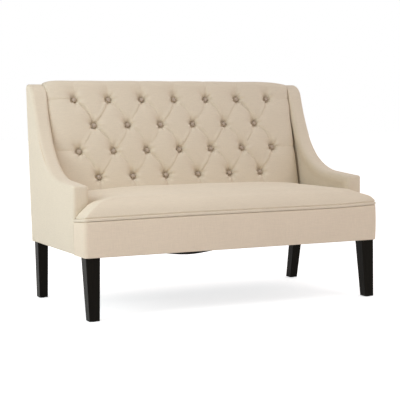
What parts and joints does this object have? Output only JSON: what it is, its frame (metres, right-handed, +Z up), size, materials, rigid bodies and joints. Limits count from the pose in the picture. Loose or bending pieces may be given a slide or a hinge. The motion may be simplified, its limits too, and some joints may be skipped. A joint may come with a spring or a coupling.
{
  "type": "settee",
  "caption": "High back settee with a tight T-shaped seat, a diamond-tufted back between swooping winged arms, a welted apron and tapered dark legs.",
  "frame": {"origin": "on the floor, below the centre of the bounding box", "axes": "+X to the sitter's left (the viewer's right in a front view), +Y to the rear, +Z up; the front faces -Y"},
  "size_m": [1.364, 0.7289, 0.957],
  "materials": {
    "frame_wood": "matte",
    "ply": "matte",
    "leg_wood": "satin",
    "seat_fabric": "matte",
    "back_fabric": "matte",
    "apron_fabric": "matte",
    "arm_fabric": "matte",
    "button_fabric": "matte",
    "welt_fabric": "matte",
    "webbing": "matte",
    "deck_cloth": "matte",
    "dust_cloth": "matte",
    "plate_steel": "satin",
    "bolt_steel": "satin",
    "glide_plastic": "matte"
  },
  "bodies": {
    "root": {"front_rail": "frame_wood", "rear_rail": "frame_wood", "corner_blocks": "frame_wood", "side_rail_left": "frame_wood", "side_rail_right": "frame_wood", "seat_stretcher_left": "frame_wood", "seat_stretcher_right": "frame_wood", "arm_panel_left": "ply", "arm_panel_right": "ply", "arm_post_left": "frame_wood", "arm_post_right": "frame_wood", "back_post_left": "ply", "back_post_right": "ply", "back_top_rail": "frame_wood", "back_lower_rail": "frame_wood", "back_upright_left": "frame_wood", "back_upright_right": "frame_wood", "seat_webbing": "webbing", "seat_cross_webbing": "webbing", "back_webbing": "webbing", "seat_deck_cloth": "deck_cloth", "seat_cushion": "seat_fabric", "seat_welt": "welt_fabric", "apron_band": "apron_fabric", "inner_arm_left": "back_fabric", "inner_arm_right": "back_fabric", "outside_arm_left": "arm_fabric", "outside_arm_right": "arm_fabric", "arm_boxing_left": "arm_fabric", "arm_boxing_right": "arm_fabric", "outside_back": "arm_fabric", "back_pad": "back_fabric", "back_buttons": "button_fabric", "leg_front_left": "leg_wood", "leg_front_right": "leg_wood", "leg_rear_left": "leg_wood", "leg_rear_right": "leg_wood", "leg_plates": "plate_steel", "leg_bolts": "bolt_steel", "foot_glides": "glide_plastic", "dust_cover": "dust_cloth"}
  },
  "joints": []
}
